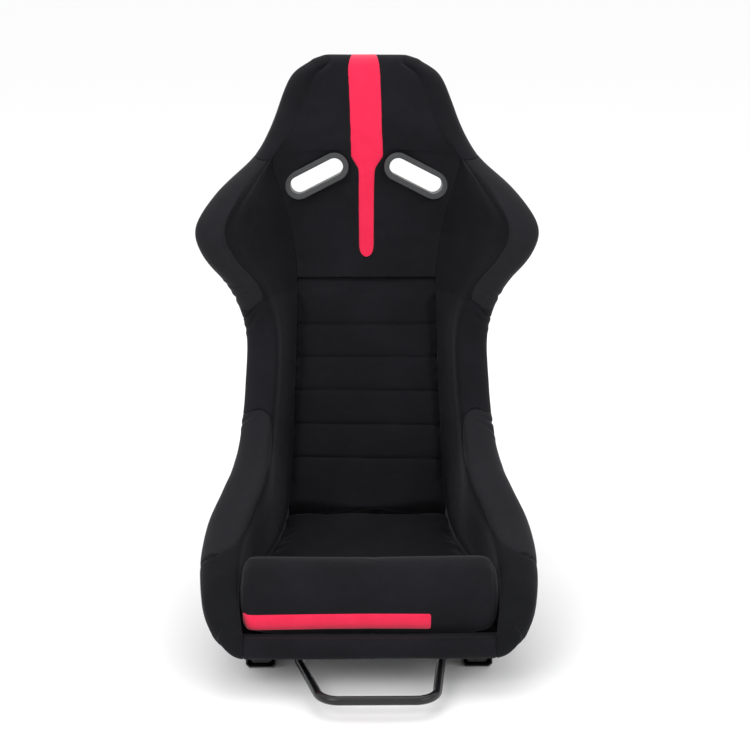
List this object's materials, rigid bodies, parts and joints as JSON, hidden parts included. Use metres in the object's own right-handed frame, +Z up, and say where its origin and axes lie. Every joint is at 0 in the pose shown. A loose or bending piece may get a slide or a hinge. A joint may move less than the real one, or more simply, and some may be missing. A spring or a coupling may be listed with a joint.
{
  "type": "racing bucket seat",
  "caption": "Fixed-back racing bucket seat with shoulder wings, belt slots, padded bolsters and loose cushions, on ball-bearing slider rails with a front release bar.",
  "frame": {"origin": "centre of the four floor bolt holes, on the floor plane under the lower rails", "axes": "+Z up, the sitter faces -Y, +X is the sitter's left"},
  "size_m": [0.5672, 0.718, 0.8966],
  "materials": {
    "shell": "gloss black gel-coated glass fibre moulding",
    "cover_cloth": "short-pile black velour",
    "bolster_cloth": "short-pile black velour on foam",
    "stripe_cloth": "bright pinkish red velour",
    "foam": "open-cell polyurethane foam, modelled as matt plastic",
    "bezel": "satin dark grey moulded plastic",
    "trim": "black rubber bead",
    "hook_tape": "black hook and loop tape",
    "rail_steel": "black coated pressed steel",
    "rack_steel": "zinc plated steel",
    "ball_steel": "polished bearing steel",
    "nylon": "natural nylon",
    "cap_plastic": "black moulded plastic",
    "fastener": "zinc plated steel",
    "bar_paint": "gloss black powder coat",
    "spring_steel": "bright spring wire"
  },
  "bodies": {
    "floor_rails": {"lock_rack_left": "rack_steel", "lock_rack_right": "rack_steel", "lower_rail_left": "rail_steel", "lower_rail_right": "rail_steel", "rail_stops": "rail_steel"},
    "balls_left": {"ball_retainers_left": "nylon", "rail_balls_left": "ball_steel"},
    "balls_right": {"ball_retainers_right": "nylon", "rail_balls_right": "ball_steel"},
    "seat": {"back_cushion_cover": "cover_cloth", "back_cushion_foam": "foam", "bezel_screws": "fastener", "bracket_rivets": "fastener", "edge_trim_left": "trim", "edge_trim_right": "trim", "front_lip_pad": "bolster_cloth", "head_pad": "bolster_cloth", "head_stripe": "stripe_cloth", "hip_bolster_left": "bolster_cloth", "hip_bolster_right": "bolster_cloth", "hook_strips": "hook_tape", "pivot_bracket_left": "rail_steel", "pivot_bracket_right": "rail_steel", "pivot_pins": "fastener", "rail_end_caps": "cap_plastic", "return_spring_left": "spring_steel", "return_spring_right": "spring_steel", "seat_bolts": "fastener", "seat_cushion_cover": "cover_cloth", "seat_cushion_foam": "foam", "seat_spacers": "fastener", "seat_washers": "fastener", "shell": "shell", "shell_inserts": "fastener", "shoulder_bolster_left": "bolster_cloth", "shoulder_bolster_right": "bolster_cloth", "slide_stops": "rail_steel", "slot_bezel_front_left": "bezel", "slot_bezel_front_right": "bezel", "slot_bezel_rear_left": "bezel", "slot_bezel_rear_right": "bezel", "spring_bracket_left": "rail_steel", "spring_bracket_right": "rail_steel", "thigh_roll_cover": "cover_cloth", "thigh_roll_foam": "foam", "thigh_stripe": "stripe_cloth", "upper_back_pad": "bolster_cloth", "upper_rail_left": "rail_steel", "upper_rail_right": "rail_steel", "waist_bolster_left": "bolster_cloth", "waist_bolster_right": "bolster_cloth"},
    "release": {"latch_lever_left": "rack_steel", "latch_lever_right": "rack_steel", "release_bar": "bar_paint"}
  },
  "joints": [
    {"name": "seat_slide", "type": "slide", "parent": "floor_rails", "child": "seat", "axis": [0, 1, 0], "range_m": [-0.084, 0.084]},
    {"name": "balls_left_roll", "type": "slide", "parent": "floor_rails", "child": "balls_left", "axis": [0, 1, 0], "range_m": [-0.042, 0.042]},
    {"name": "balls_right_roll", "type": "slide", "parent": "floor_rails", "child": "balls_right", "axis": [0, 1, 0], "range_m": [-0.042, 0.042]},
    {"name": "release_lift", "type": "hinge", "parent": "seat", "child": "release", "pos_m": [0, 0.11, 0.024], "axis": [-1, 0, 0], "range_deg": [-1.6, 2.5], "stiffness_Nm_per_rad": 60, "springref_deg": -3.44, "deforming": ["return_spring_left", "return_spring_right"]}
  ],
  "couplings": [
    {"joint": "balls_left_roll", "follows": "seat_slide", "ratio": 0.5},
    {"joint": "balls_right_roll", "follows": "seat_slide", "ratio": 0.5}
  ]
}
